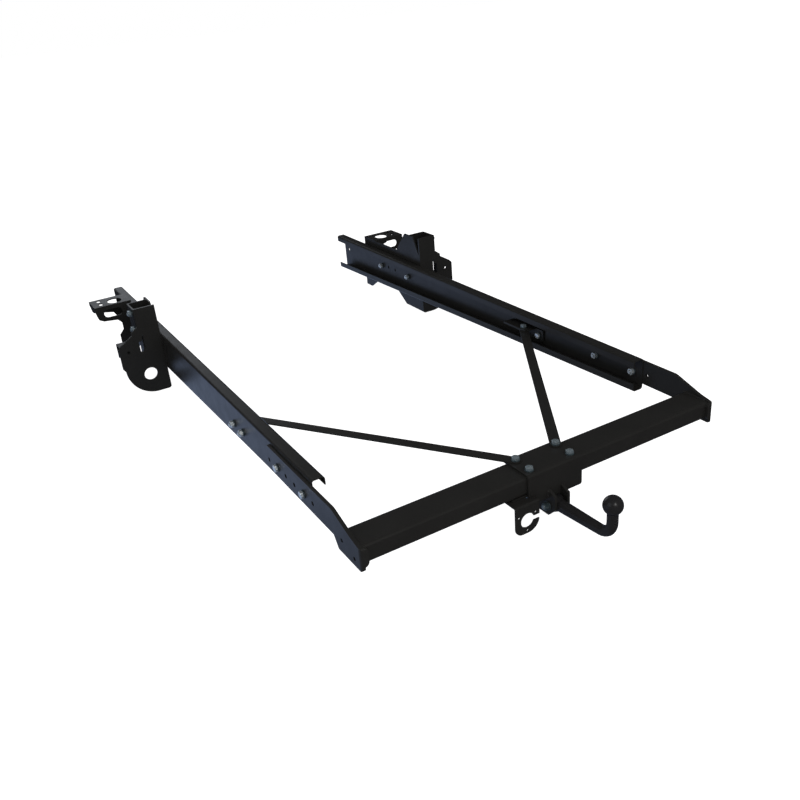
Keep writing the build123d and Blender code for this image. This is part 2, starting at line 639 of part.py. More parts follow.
# Angles inside the rails that carry the braces
angle_bend = ANGLE_T + FOLD_R
with BuildPart() as right_angle:
    with BuildSketch(Plane.XZ.offset(-angle_rear)):
        with BuildLine():
            leg = FilletPolyline(
                (web_inner, ANGLE_SHELF_Z + ANGLE_T - ANGLE_LEG), (web_inner, ANGLE_SHELF_Z + ANGLE_T),
                (web_inner - ANGLE_DEPTH, ANGLE_SHELF_Z + ANGLE_T), radius=angle_bend,
            )
            offset(leg, amount=ANGLE_T, side=Side.LEFT)
        make_face()
    extrude(amount=-ANGLE_LENGTH)
    with BuildSketch(Plane.XY.offset(ANGLE_SHELF_Z)):
        with Locations((web_inner - angle_bend, angle_rear)):
            Rectangle(ANGLE_DEPTH, ANGLE_SHELF_IN, align=(Align.MAX, Align.MIN))
    extrude(amount=ANGLE_T, mode=Mode.SUBTRACT)
    with BuildSketch(Plane.YZ.offset(web_inner)):
        with Locations(*[(y, ANGLE_BOLT_Z) for y in angle_bolt_y]):
            Circle(bolt_hole_r)
    extrude(amount=-ANGLE_T, mode=Mode.SUBTRACT)
    with BuildSketch(Plane.XY.offset(ANGLE_SHELF_Z)):
        with Locations((brace_bolt_x, brace_bolt_y)):
            Circle(bolt_hole_r)
    extrude(amount=ANGLE_T, mode=Mode.SUBTRACT)
keep_pair(right_angle.part, "brace_angle")
angle_heads = [crosswise(web_inner - ANGLE_T, y, ANGLE_BOLT_Z, -1) for y in angle_bolt_y]
angle_heads += [crosswise(ANGLE_T - web_inner, y, ANGLE_BOLT_Z) for y in angle_bolt_y]
joint_of(ANGLE_T + RAIL_T, angle_heads, "brace_angle")

# Braces, flat bars set down between the saddle and the rails
brace_start = (SADDLE_BOLT_X / 2, beam_middle + SADDLE_BOLT_Y / 2)
run_x = brace_bolt_x - brace_start[0]
run_y = brace_bolt_y - brace_start[1]
brace_run = hypot(run_x, run_y)
brace_plane = Plane(
    origin=(brace_start[0], brace_start[1], 0),
    x_dir=(run_x, run_y, 0), z_dir=(run_y, -run_x, 0),
)
brace_end = BRACE_W / 2
with BuildPart() as right_brace:
    with BuildSketch(brace_plane.offset(-BRACE_W / 2)):
        with BuildLine():
            under = FilletPolyline(
                (-brace_end, saddle_top), (BRACE_FLAT, saddle_top),
                (brace_run - BRACE_FLAT, ANGLE_SHELF_Z - BRACE_T),
                (brace_run + brace_end, ANGLE_SHELF_Z - BRACE_T), radius=BRACE_BEND,
            )
            offset(under, amount=BRACE_T, side=Side.LEFT)
        make_face()
    extrude(amount=BRACE_W)
    with BuildSketch(Plane(origin=(brace_start[0], brace_start[1], 0), x_dir=(run_x, run_y, 0))) as shape:
        with Locations((brace_run / 2, 0)):
            SlotCenterToCenter(brace_run, BRACE_W)
        with Locations((0, 0), (brace_run, 0)):
            Circle(bolt_hole_r, mode=Mode.SUBTRACT)
    extrude(amount=2 * BRACE_W, both=True, mode=Mode.INTERSECT)
keep_pair(right_brace.part, "brace")
shelf_top = ANGLE_SHELF_Z + ANGLE_T
brace_heads = [upright(x, brace_bolt_y, shelf_top) for x in (-brace_bolt_x, brace_bolt_x)]
joint_of(ANGLE_T + BRACE_T, brace_heads, "brace")

# Chassis bracket side plates, upright on the outside of the rails
foot_end = eye_front + BRACKET_FOOT_LENGTH
arm_foot = ARM_TOP - ARM_T
with BuildPart() as right_bracket:
    with BuildSketch(Plane.YZ.offset(WEB_X)):
        with BuildLine():
            Polyline(
                (eye_front, BRACKET_FOOT), (foot_end, BRACKET_FOOT),
                (foot_end + BRACKET_TAPER, BRACKET_WAIST), (arm_rear, BRACKET_WAIST),
                (arm_rear + BRACKET_TAPER, BRACKET_TOE), (arm_rear + BRACKET_NOSE, BRACKET_TOE),
                (arm_rear + BRACKET_NOSE, BRACKET_NOSE_TOP), (arm_front, BRACKET_NOSE_TOP),
                (arm_front, arm_foot), (eye_front + HORN_LENGTH + HORN_SLOPE, arm_foot),
                (eye_front + HORN_LENGTH, EYE_TONGUE_TOP), (eye_front + HORN_REAR_IN, EYE_TONGUE_TOP),
                (eye_front, HORN_REAR_FOOT), close=True,
            )
        make_face()
        with Locations(*chassis_bolts):
            Circle(bolt_hole_r, mode=Mode.SUBTRACT)
    extrude(amount=BRACKET_T)
keep_pair(right_bracket.part, "bracket_side_plate")
chassis_heads = [crosswise(bracket_outer, y, z) for y, z in chassis_bolts]
chassis_heads += [crosswise(-bracket_outer, y, z, -1) for y, z in chassis_bolts]
joint_of(BRACKET_T + RAIL_T, chassis_heads, "bracket")

# Towing eye plates, crosswise behind the brackets
round_foot = EYE_ROUND_Z - EYE_ROUND_R
with BuildPart() as right_eye_plate:
    with BuildSketch(Plane.XZ.offset(-eye_rear)):
        with BuildLine():
            low = (WEB_X + EYE_ROUND_X, round_foot)
            out = (WEB_X + EYE_ROUND_X + EYE_ROUND_R, EYE_ROUND_Z)
            mid = (
                WEB_X + EYE_ROUND_X + EYE_ROUND_R * cos(radians(45)),
                EYE_ROUND_Z - EYE_ROUND_R * sin(radians(45)),
            )
            ThreePointArc(low, mid, out)
            Polyline(
                out, (WEB_X + EYE_REACH, EYE_ROUND_Z + EYE_CORNER), (WEB_X + EYE_REACH, EYE_EDGE_TOP),
                (WEB_X + EYE_REACH - EYE_CORNER, EYE_EDGE_TOP + EYE_CORNER),
                (WEB_X + EYE_STEP_W, EYE_STEP_TOP - EYE_STEP_H), (WEB_X + EYE_STEP_W, EYE_STEP_TOP),
                (WEB_X + EYE_TONGUE_W, EYE_TONGUE_FOOT), (WEB_X + EYE_TONGUE_W, EYE_TONGUE_TOP),
                (WEB_X, EYE_TONGUE_TOP), (WEB_X, round_foot + BRACKET_T), (bracket_outer, round_foot), low,
            )
        make_face()
        with Locations((WEB_X + EYE_X, EYE_Z)):
            Circle(EYE_D / 2, mode=Mode.SUBTRACT)
        with Locations((WEB_X + EYE_SCREW_X, EYE_SCREW_Z)):
            Circle(EYE_SCREW_D / 2, mode=Mode.SUBTRACT)
        with BuildLine():
            Polyline(*[(WEB_X + x, z) for x, z in EYE_WINDOW], close=True)
        make_face(mode=Mode.SUBTRACT)
    extrude(amount=-EYE_T)
keep_pair(right_eye_plate.part, "eye_plate")

# Hoods, folded to close the space between the eye plate's tongue and the bracket's horn
hood_front = eye_front + HOOD_LENGTH
with BuildPart() as right_hood:
    with BuildSketch(Plane.XY.offset(HOOD_FOOT)):
        with BuildLine():
            wall = FilletPolyline(
                (bracket_outer, hood_front), (WEB_X + HOOD_W, hood_front), (WEB_X + HOOD_W, eye_front),
                radius=BRACKET_T + FOLD_R,
            )
            offset(wall, amount=BRACKET_T, side=Side.RIGHT)
        make_face()
    extrude(amount=EYE_TONGUE_TOP - HOOD_FOOT)
    with BuildSketch(Plane.YZ.offset(WEB_X + HOOD_W)):
        with Locations(*[(eye_front + HOOD_BOLT_IN, z) for z in HOOD_BOLT_Z]):
            Circle(bolt_hole_r)
    extrude(amount=-BRACKET_T, mode=Mode.SUBTRACT)
keep_pair(right_hood.part, "bracket_hood")
hood_inner = WEB_X + HOOD_W - BRACKET_T
hood_heads = [crosswise(hood_inner, eye_front + HOOD_BOLT_IN, z, -1) for z in HOOD_BOLT_Z]
hood_heads += [crosswise(-hood_inner, eye_front + HOOD_BOLT_IN, z) for z in HOOD_BOLT_Z]
joint_of(BRACKET_T, hood_heads, "hood")

# Gussets, upright in front of the eye plates
gusset_front = eye_front + GUSSET_LENGTH
with BuildPart() as right_gusset:
    with BuildSketch(Plane.YZ.offset(WEB_X + GUSSET_X)):
        with BuildLine():
            Polyline(
                (eye_front, GUSSET_TOP), (gusset_front, GUSSET_EDGE), (gusset_front, -GUSSET_EDGE),
                (eye_front, GUSSET_FOOT), close=True,
            )
        make_face()
    extrude(amount=BRACKET_T)
keep_pair(right_gusset.part, "eye_gusset")

# Ledges, small angles folded down in front of the eye plates
ledge_front = eye_front + LEDGE_LENGTH
with BuildPart() as right_ledge:
    with BuildSketch(Plane.YZ.offset(WEB_X + LEDGE_X)):
        with BuildLine():
            fold = FilletPolyline(
                (eye_front, LEDGE_TOP), (ledge_front, LEDGE_TOP), (ledge_front, LEDGE_FLANGE_FOOT),
                radius=BRACKET_T + FOLD_R,
            )
            offset(fold, amount=BRACKET_T, side=Side.RIGHT)
        make_face()
    extrude(amount=LEDGE_W)
keep_pair(right_ledge.part, "eye_ledge")

# Arms that reach out from the side plates to the chassis
with BuildPart() as right_arm:
    with BuildSketch(Plane.XY.offset(arm_foot)):
        with Locations((WEB_X, arm_rear)):
            Rectangle(ARM_REACH, ARM_LENGTH, align=(Align.MIN, Align.MIN))
        with Locations((WEB_X + ARM_HOLE_X, arm_rear + ARM_HOLE_IN)):
            SlotOverall(ARM_HOLE_L, ARM_HOLE_W, rotation=90, mode=Mode.SUBTRACT)
        with Locations((WEB_X + ARM_SCREW_X, arm_rear + ARM_SCREW_IN)):
            with GridLocations(0, ARM_SCREW_PITCH, 1, 2):
                SlotOverall(ARM_SCREW_L, ARM_SCREW_W, rotation=90, mode=Mode.SUBTRACT)
    extrude(amount=ARM_T)
    with BuildSketch(Plane.XZ.offset(-arm_rear)):
        with BuildLine():
            Polyline(
                (bracket_outer, ARM_DROP[-1][1]), (bracket_outer, ARM_TOP), (WEB_X + ARM_REACH, ARM_TOP),
                (WEB_X + ARM_REACH, ARM_EDGE_FOOT), *[(WEB_X + x, z) for x, z in ARM_DROP], close=True,
            )
        make_face()
        with Locations((WEB_X + ARM_SLOT_X, ARM_SLOT_Z)):
            SlotOverall(ARM_SLOT_L, ARM_SLOT_H, mode=Mode.SUBTRACT)
    extrude(amount=-ARM_T)
    with BuildSketch(Plane.YZ.offset(WEB_X + ARM_REACH)):
        with BuildLine():
            Polyline(
                (arm_rear, ARM_TOP), (arm_rear, ARM_EDGE_FOOT),
                *[(arm_rear + y, z) for y, z in ARM_FLANGE],
                (arm_front - ARM_T, ARM_WEB_EDGE), (arm_front - ARM_T, ARM_TOP), close=True,
            )
        make_face()
    extrude(amount=-ARM_T)
keep_pair(right_arm.part, "bracket_arm")

# Webs under the front edges of the arms, open in the middle
open_in, open_out, open_foot = ARM_WEB_OPEN
with BuildPart() as right_web:
    with BuildSketch(Plane.XZ.offset(-arm_front)):
        with BuildLine():
            Polyline(
                (bracket_outer, ARM_WEB[-1][1]), (bracket_outer, arm_foot), (WEB_X + open_in, arm_foot),
                (WEB_X + open_in, open_foot), (WEB_X + open_out, open_foot), (WEB_X + open_out, arm_foot),
                (WEB_X + ARM_REACH, arm_foot), (WEB_X + ARM_REACH, ARM_WEB_EDGE),
                *[(WEB_X + x, z) for x, z in ARM_WEB], close=True,
            )
        make_face()
    extrude(amount=ARM_T)
keep_pair(right_web.part, "arm_web")
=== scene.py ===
import math

import bpy
import numpy as np
from mathutils import Matrix, Vector


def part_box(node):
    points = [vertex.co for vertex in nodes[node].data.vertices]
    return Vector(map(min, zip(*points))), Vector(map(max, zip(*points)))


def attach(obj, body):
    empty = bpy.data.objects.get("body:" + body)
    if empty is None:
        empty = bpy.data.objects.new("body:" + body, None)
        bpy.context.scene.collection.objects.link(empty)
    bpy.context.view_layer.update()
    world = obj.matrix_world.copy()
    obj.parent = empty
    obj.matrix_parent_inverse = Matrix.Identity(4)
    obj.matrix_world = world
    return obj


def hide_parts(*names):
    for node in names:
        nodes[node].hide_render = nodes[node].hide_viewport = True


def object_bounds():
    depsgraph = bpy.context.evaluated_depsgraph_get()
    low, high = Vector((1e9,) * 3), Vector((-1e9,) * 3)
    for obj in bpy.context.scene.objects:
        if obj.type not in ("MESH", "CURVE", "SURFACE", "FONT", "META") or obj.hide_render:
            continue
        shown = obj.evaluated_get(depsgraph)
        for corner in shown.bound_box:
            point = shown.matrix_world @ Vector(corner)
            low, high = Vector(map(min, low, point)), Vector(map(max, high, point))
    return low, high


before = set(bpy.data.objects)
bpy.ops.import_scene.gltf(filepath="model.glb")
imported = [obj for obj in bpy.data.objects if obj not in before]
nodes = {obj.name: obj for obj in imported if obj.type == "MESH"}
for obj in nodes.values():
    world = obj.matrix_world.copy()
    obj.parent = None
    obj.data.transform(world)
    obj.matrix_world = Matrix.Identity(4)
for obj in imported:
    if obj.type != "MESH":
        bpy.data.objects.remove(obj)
cad_low, cad_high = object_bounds()
MM = 0.001

# The studio. The hitch stands on a pale floor that is white to the camera and runs out to a
# white world. The coat and the zinc mirror a cooler, darker floor: brightest in a band to the
# left front, dim at the right rear and far off, and dim where it is seen from ahead.
FLOOR_SIZE = 60.0
FLOOR_WHITE = 0.9
FLOOR_PAINT = (0.78, 0.78, 0.78, 1.0)
FLOOR_IN_GLOSS = (0.79, 1.0, 1.5, 1.0)
# from one value to another, and the level at each: of Y - X in metres, then of the view's Y
BAND_RISE = (0.3, 1.8, 0.09, 0.43)
BAND_END = (2.6, 3.1, 1.0, 0.08)
SEEN_FROM_AHEAD = (0.3, -0.3, 0.15, 1.0)


def graph(owner):
    """An empty node tree on a material or a world."""
    owner.use_nodes = True
    tree = owner.node_tree
    tree.nodes.clear()
    return tree


def add_node(tree, kind, inputs=None, **settings):
    """A node of that kind; inputs are values or sockets by socket name or number."""
    node = tree.nodes.new(kind)
    for name, value in settings.items():
        setattr(node, name, value)
    for name, value in (inputs or {}).items():
        if isinstance(value, bpy.types.NodeSocket):
            tree.links.new(value, node.inputs[name])
        else:
            node.inputs[name].default_value = value
    return node


def spread(tree, value, low, high, out_low, out_high):
    """The value's range from low to high, stretched smoothly to the other range."""
    inputs = {"Value": value, "From Min": low, "From Max": high, "To Min": out_low, "To Max": out_high}
    return add_node(tree, "ShaderNodeMapRange", inputs, interpolation_type="SMOOTHSTEP").outputs[0]


floor_mesh = bpy.data.meshes.new("studio_floor")
half = FLOOR_SIZE / 2
floor_z = cad_low.z
floor_mesh.from_pydata(
    [(-half, -half, floor_z), (half, -half, floor_z), (half, half, floor_z), (-half, half, floor_z)],
    [], [(0, 1, 2, 3)],
)
floor = bpy.data.objects.new("studio_floor", floor_mesh)
bpy.context.scene.collection.objects.link(floor)
floor_look = bpy.data.materials.new("pale_floor")
tree = graph(floor_look)
path = add_node(tree, "ShaderNodeLightPath")
place = add_node(tree, "ShaderNodeTexCoord")
spot = add_node(tree, "ShaderNodeSeparateXYZ", {0: place.outputs["Object"]})
slant = add_node(
    tree, "ShaderNodeMath", {0: spot.outputs["Y"], 1: spot.outputs["X"]}, operation="SUBTRACT"
).outputs[0]
arriving = add_node(tree, "ShaderNodeNewGeometry").outputs["Incoming"]
came_from = add_node(tree, "ShaderNodeSeparateXYZ", {0: arriving}).outputs["Y"]
floor_level = spread(tree, slant, *BAND_RISE)
for part in (spread(tree, slant, *BAND_END), spread(tree, came_from, *SEEN_FROM_AHEAD)):
    floor_level = add_node(
        tree, "ShaderNodeMath", {0: floor_level, 1: part}, operation="MULTIPLY"
    ).outputs[0]
seen_in_gloss = add_node(tree, "ShaderNodeEmission", {"Color": FLOOR_IN_GLOSS, "Strength": floor_level})
paint = add_node(tree, "ShaderNodeBsdfDiffuse", {"Color": FLOOR_PAINT})
white = add_node(tree, "ShaderNodeEmission", {"Strength": FLOOR_WHITE})
seen_by_camera = add_node(tree, "ShaderNodeAddShader", {0: white.outputs[0], 1: paint.outputs[0]})
through = add_node(
    tree, "ShaderNodeMath",
    {0: path.outputs["Is Glossy Ray"], 1: path.outputs["Is Transmission Ray"]}, operation="MAXIMUM",
)
in_metal = add_node(
    tree, "ShaderNodeMixShader", {0: through.outputs[0], 1: paint.outputs[0], 2: seen_in_gloss.outputs[0]}
)
whole = add_node(
    tree, "ShaderNodeMixShader",
    {0: path.outputs["Is Camera Ray"], 1: in_metal.outputs[0], 2: seen_by_camera.outputs[0]},
)
add_node(tree, "ShaderNodeOutputMaterial", {"Surface": whole.outputs[0]})
floor_mesh.materials.append(floor_look)

# The world is white to the camera and an even soft grey to the matt part of every surface. What
# is mirrored is a dim room, with one pale screen low down ahead of the hitch.
SKY_SOFT = (0.45, 0.45, 0.45, 1.0)
ROOM_DIM = 0.03
SCREEN_LEVEL = 0.92
SCREEN_TINT = (0.95, 1.0, 1.08, 1.0)
# the screen's edges: an axis of the heading, where nothing of it shows, and where all does
SCREEN_EDGES = (("Z", 0.48, 0.34), ("X", 0.34, 0.23), ("X", -0.30, -0.04), ("Y", 0.2, 0.7))
world = bpy.data.worlds.new("studio_world")
bpy.context.scene.world = world
tree = graph(world)
path = add_node(tree, "ShaderNodeLightPath")
way = add_node(tree, "ShaderNodeTexCoord")
heading = add_node(tree, "ShaderNodeSeparateXYZ", {0: way.outputs["Generated"]})
screen = SCREEN_LEVEL
for axis, none_at, full_at in SCREEN_EDGES:
    part = spread(tree, heading.outputs[axis], none_at, full_at, 0.0, 1.0)
    screen = add_node(tree, "ShaderNodeMath", {0: part, 1: screen}, operation="MULTIPLY").outputs[0]
room_level = add_node(tree, "ShaderNodeMath", {0: screen, 1: ROOM_DIM}, operation="ADD")
room = add_node(tree, "ShaderNodeBackground", {"Color": SCREEN_TINT, "Strength": room_level.outputs[0]})
soft = add_node(tree, "ShaderNodeBackground", {"Color": SKY_SOFT, "Strength": 1.0})
lit = add_node(
    tree, "ShaderNodeMixShader", {0: path.outputs["Is Glossy Ray"], 1: soft.outputs[0], 2: room.outputs[0]}
)
plain = add_node(tree, "ShaderNodeBackground", {"Color": (1, 1, 1, 1), "Strength": 1.0})
both = add_node(
    tree, "ShaderNodeMixShader", {0: path.outputs["Is Camera Ray"], 1: lit.outputs[0], 2: plain.outputs[0]}
)
add_node(tree, "ShaderNodeOutputWorld", {"Surface": both.outputs[0]})
bpy.context.scene.view_settings.view_transform = "Standard"


# Three soft boxes: a small one by the camera, which puts the spot on the ball, a cool one on
# the left, and one at the right rear that fills the other sides and is not seen in gloss.
def soft_box(name, at, aim, size, watts, colour, mirrored=True):
    """A square area lamp at a point, turned to face another point, and seen in gloss or not."""
    lamp = bpy.data.lights.new(name, "AREA")
    lamp.size = size
    lamp.energy = watts
    lamp.color = colour
    box = bpy.data.objects.new(name, lamp)
    box.location = at
    box.rotation_euler = (Vector(aim) - Vector(at)).to_track_quat("-Z", "Y").to_euler()
    box.visible_camera = False
    box.visible_glossy = mirrored
    bpy.context.scene.collection.objects.link(box)


soft_box("box_by_camera", (-0.55, -2.3, 2.0), (0, 0.6, 0), 0.65, 16.0, (1.0, 0.99, 0.97))
soft_box("box_left", (-3.2, 0.2, 1.6), (0, 1.0, 0), 2.2, 8.0, (0.82, 0.90, 1.0))
soft_box("box_right_rear", (3.0, -2.2, 2.6), (0, 0.8, 0), 2.0, 17.0, (1.0, 1.0, 1.0), mirrored=False)

# The camera stands left of the hitch and behind it, above, as in the photograph, and is
# turned a little about its own line of sight.
AIM = np.array((-0.0002, 0.9823, -0.1054))
DISTANCE = 2.796
AZIMUTH, ELEVATION, ROLL = (math.radians(angle) for angle in (-28.65, 26.35, -5.17))
back = np.array((
    math.sin(AZIMUTH) * math.cos(ELEVATION), -math.cos(AZIMUTH) * math.cos(ELEVATION), math.sin(ELEVATION)
))
level_right = np.array((math.cos(AZIMUTH), math.sin(AZIMUTH), 0.0))
level_up = np.cross(back, level_right)
right = math.cos(ROLL) * level_right + math.sin(ROLL) * level_up
up = math.cos(ROLL) * level_up - math.sin(ROLL) * level_right
camera_data = bpy.data.cameras.new("camera")
camera_data.sensor_width = 36.0
camera_data.lens = 38.283
camera_data.clip_end = 200.0
camera = bpy.data.objects.new("camera", camera_data)
turned_to = Matrix((right, up, back)).transposed().to_4x4()
camera.matrix_world = Matrix.Translation(Vector(AIM + DISTANCE * back)) @ turned_to
bpy.context.scene.collection.objects.link(camera)
bpy.context.scene.camera = camera


# Every plate, channel and tube is steel with a black powder coat: satin, with a fine orange
# peel, a little thinner and paler in patches and specks, and faintly uneven in gloss.
CLOUD_SCALE, SPECK_SCALE, GLOSS_SCALE = 9.0, 240.0, 26.0
def node_group(name, values, colours, outputs):
    """An empty shader group with float and colour inputs, and outputs given by name and kind."""
    tree = bpy.data.node_groups.new(name, "ShaderNodeTree")
    for label, value in values:
        socket = tree.interface.new_socket(label, in_out="INPUT", socket_type="NodeSocketFloat")
        socket.default_value = value
    for label, value in colours:
        socket = tree.interface.new_socket(label, in_out="INPUT", socket_type="NodeSocketColor")
        socket.default_value = value
    for label, kind in outputs:
        tree.interface.new_socket(label, in_out="OUTPUT", socket_type="NodeSocket" + kind)
    return tree, tree.nodes.new("NodeGroupInput").outputs, tree.nodes.new("NodeGroupOutput").inputs


def noise(tree, coordinate, scale, detail=2.0, roughness=0.5):
    """A noise texture on that coordinate, as its value from 0 to 1."""
    texture = add_node(
        tree, "ShaderNodeTexNoise",
        {"Vector": coordinate, "Scale": scale, "Detail": detail, "Roughness": roughness},
    )
    return texture.outputs[0]


coat_group, coat_in, coat_out = node_group(
    "sprayed_coat",
    [
        ("Gloss", 0.4), ("Unevenness", 0.06), ("Peel Size", 900.0), ("Peel Depth", 0.03),
        ("Edge Round", 0.0004),
    ],
    [("Colour", (0.005, 0.005, 0.004, 1)), ("Thin Colour", (0.012, 0.012, 0.011, 1))],
    [("Colour", "Color"), ("Roughness", "Float"), ("Normal", "Vector")],
)
place = add_node(coat_group, "ShaderNodeTexCoord").outputs["Object"]
cloud = noise(coat_group, place, CLOUD_SCALE, 3.0)
speck = noise(coat_group, place, SPECK_SCALE, 2.0)
clouded = spread(coat_group, cloud, 0.3, 0.7, 0.0, 0.6)
specked = spread(coat_group, speck, 0.58, 0.75, 0.0, 0.4)
thin = add_node(coat_group, "ShaderNodeMath", {0: clouded, 1: specked}, operation="ADD", use_clamp=True)
mixed = add_node(
    coat_group, "ShaderNodeMix",
    {0: thin.outputs[0], 6: coat_in["Colour"], 7: coat_in["Thin Colour"]}, data_type="RGBA",
)
coat_group.links.new(mixed.outputs[2], coat_out["Colour"])
swing = spread(coat_group, noise(coat_group, place, GLOSS_SCALE, 3.0), 0.25, 0.75, -1.0, 1.0)
swing_by = add_node(coat_group, "ShaderNodeMath", {0: swing, 1: coat_in["Unevenness"]}, operation="MULTIPLY")
gloss = add_node(
    coat_group, "ShaderNodeMath", {0: coat_in["Gloss"], 1: swing_by.outputs[0]},
    operation="ADD", use_clamp=True,
)
coat_group.links.new(gloss.outputs[0], coat_out["Roughness"])
peel = add_node(
    coat_group, "ShaderNodeTexNoise", {"Vector": place, "Scale": coat_in["Peel Size"], "Detail": 1.5}
)
edge = add_node(coat_group, "ShaderNodeBevel", {"Radius": coat_in["Edge Round"]}, samples=4)
dimpled = add_node(coat_group, "ShaderNodeBump", {
    "Height": peel.outputs[0], "Strength": coat_in["Peel Depth"], "Distance": 0.001,
    "Normal": edge.outputs[0],
})
coat_group.links.new(dimpled.outputs[0], coat_out["Normal"])


def coated(name, group, inputs, **plain):
    """A material whose Principled shader takes the group's colour, roughness and normal."""
    look = bpy.data.materials.new(name)
    tree = graph(look)
    surface = add_node(tree, "ShaderNodeGroup")
    surface.node_tree = group
    for label, value in inputs.items():
        surface.inputs[label].default_value = value
    shader = add_node(tree, "ShaderNodeBsdfPrincipled", {
        "Base Color": surface.outputs["Colour"],
        "Roughness": surface.outputs["Roughness"],
        "Normal": surface.outputs["Normal"],
    })
    for label, value in plain.items():
        shader.inputs[label.replace("_", " ")].default_value = value
    add_node(tree, "ShaderNodeOutputMaterial", {"Surface": shader.outputs[0]})
    return look


black_coat = coated(
    "black_powder_coat", coat_group,
    {"Gloss": 0.34, "Unevenness": 0.03, "Colour": (0.0222, 0.0215, 0.0202, 1),
     "Thin Colour": (0.0270, 0.0262, 0.0245, 1)},
    Specular_IOR_Level=0.33,
)
FOLDED_AND_CUT = (
    "cross_beam", "saddle_plate", "lower_clamp_plate", "socket_plate",
    "left_rail", "right_rail", "left_side_plate", "right_side_plate", "left_cheek", "right_cheek",
    "left_brace", "right_brace", "left_brace_angle", "right_brace_angle",
    "left_bracket_side_plate", "right_bracket_side_plate", "left_eye_plate", "right_eye_plate",
    "left_bracket_hood", "right_bracket_hood", "left_eye_gusset", "right_eye_gusset",
    "left_eye_ledge", "right_eye_ledge", "left_bracket_arm", "right_bracket_arm",
    "left_arm_web", "right_arm_web",
)
for name in FOLDED_AND_CUT:
    nodes[name].data.materials[0] = black_coat

# Ball and neck, one steel forging: drawn from a ball turned to size, through a round bend,
# to a shank that thickens into the flat tongue between the cheeks. Its coat is smoother.
BALL_R = 25.0
BALL_FLAT = 23.5
NECK_R = 14.0
SHANK_R = 17.0
NECK_DROP = 98.0
BEND_R = 42.0
TILT = math.radians(3.1)
SHANK_END = 197.0
TONGUE_REAR = 187.0
TONGUE_END = 293.0
TONGUE_HALF = 22.0
TONGUE_SWELL = 14.0
TONGUE_SETTLE = 8.0
END_ROUND = 6.0
END_DROP = 3.0
FILLET_R = 4.0
FLASH_HEIGHT = 0.22
FLASH_WIDTH = 0.06
AROUND = 96


def shade(piece, angle=35.0):
    """Smooth faces, with edges sharper than the angle left crisp."""
    piece.data.shade_smooth()
    piece.data.set_sharp_from_angle(angle=math.radians(angle))


def skin(name, shells, look, body="hitch", angle=35.0):
    """One piece from closed shells in millimetres.

    A shell is an array of rings, rings x points x 3. Its faces join each ring to the next, and a
    fan closes each end, or the last ring joins the first where the shell is marked as a loop.
    """
    points, faces, start = [], [], 0
    for rings, loop in shells:
        count, around = rings.shape[:2]
        centre = rings.reshape(-1, 3).mean(0)
        local = rings - centre
        outward = np.sum(np.cross(np.roll(local, -1, 1), np.roll(local, -1, 0)) * local, axis=2)
        outward = outward.sum() if loop else outward[:-1].sum()
        if outward < 0:
            rings = rings[::-1]
        index = start + np.arange(count * around).reshape(count, around)
        beside = np.roll(index, -1, axis=1)
        if loop:
            above, above_beside = np.roll(index, -1, axis=0), np.roll(beside, -1, axis=0)
            quads = np.stack([index, beside, above_beside, above], axis=-1)
        else:
            quads = np.stack([index[:-1], beside[:-1], beside[1:], index[1:]], axis=-1)
        faces += quads.reshape(-1, 4).tolist()
        points.append(rings.reshape(-1, 3))
        start += count * around
        if not loop:
            faces += np.stack([np.full(around, start), beside[0], index[0]], axis=-1).tolist()
            faces += np.stack([np.full(around, start + 1), index[-1], beside[-1]], axis=-1).tolist()
            points.append(np.array([rings[0].mean(0), rings[-1].mean(0)]))
            start += 2
    mesh = bpy.data.meshes.new(name)
    mesh.from_pydata((np.concatenate(points) * MM).tolist(), [], faces)
    mesh.materials.append(look)
    piece = bpy.data.objects.new(name, mesh)
    bpy.context.scene.collection.objects.link(piece)
    shade(piece, angle)
    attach(piece, body)
    return piece


def arc(centre, radius, start, end, count):
    """Points on a circle in the plane from one angle to another, both in degrees."""
    turn = np.radians(np.linspace(start, end, count))
    return np.stack([centre[0] + radius * np.cos(turn), centre[1] + radius * np.sin(turn)], axis=-1)


# radius and height down the ball: crown, sphere, the small fillet, and the straight neck
flat_r = math.sqrt(BALL_R ** 2 - BALL_FLAT ** 2)
crown = np.array([(0.02, BALL_FLAT), (flat_r * 0.5, BALL_FLAT), (flat_r - 0.5, BALL_FLAT)])
fillet_x = NECK_R + FILLET_R
fillet_z = -math.sqrt((BALL_R + FILLET_R) ** 2 - fillet_x ** 2)
touch = math.degrees(math.atan2(fillet_z, fillet_x))
sphere = arc((0, 0), BALL_R, math.degrees(math.atan2(BALL_FLAT, flat_r)) - 1.0, touch, 60)
fillet = arc((fillet_x, fillet_z), FILLET_R, 180 + touch, 180, 10)
turn_end = math.pi / 2 - TILT
shank_start_y = BEND_R * (1 - math.cos(turn_end))
shank_rise = (SHANK_END - shank_start_y) * math.tan(TILT)
bend_z = -NECK_DROP + shank_rise + BEND_R * math.sin(turn_end)
stem = np.array([(NECK_R, z) for z in np.linspace(fillet_z - 1, bend_z + 0.5, 4)])
profile = np.concatenate([crown, sphere, fillet[1:], stem])
ball_lines = np.stack([np.zeros(len(profile)), profile[:, 1]], axis=-1)
ball_down = np.tile((0.0, -1.0), (len(profile), 1))
bend_turn = np.linspace(0, turn_end, 40)
bend_lines = np.stack([BEND_R - BEND_R * np.cos(bend_turn), bend_z - BEND_R * np.sin(bend_turn)], axis=-1)
bend_down = np.stack([np.sin(bend_turn), -np.cos(bend_turn)], axis=-1)
reach = np.linspace(0.02, 1.0, 60)
tail_y = shank_start_y + reach * (TONGUE_END - shank_start_y)
tail_z = np.where(
    tail_y < SHANK_END,
    -NECK_DROP + (SHANK_END - tail_y) * math.tan(TILT), -NECK_DROP,
)
tail_lines = np.stack([tail_y, tail_z], axis=-1)
settle = np.clip((tail_y - TONGUE_REAR) / TONGUE_SETTLE, 0, 1)[:, None]
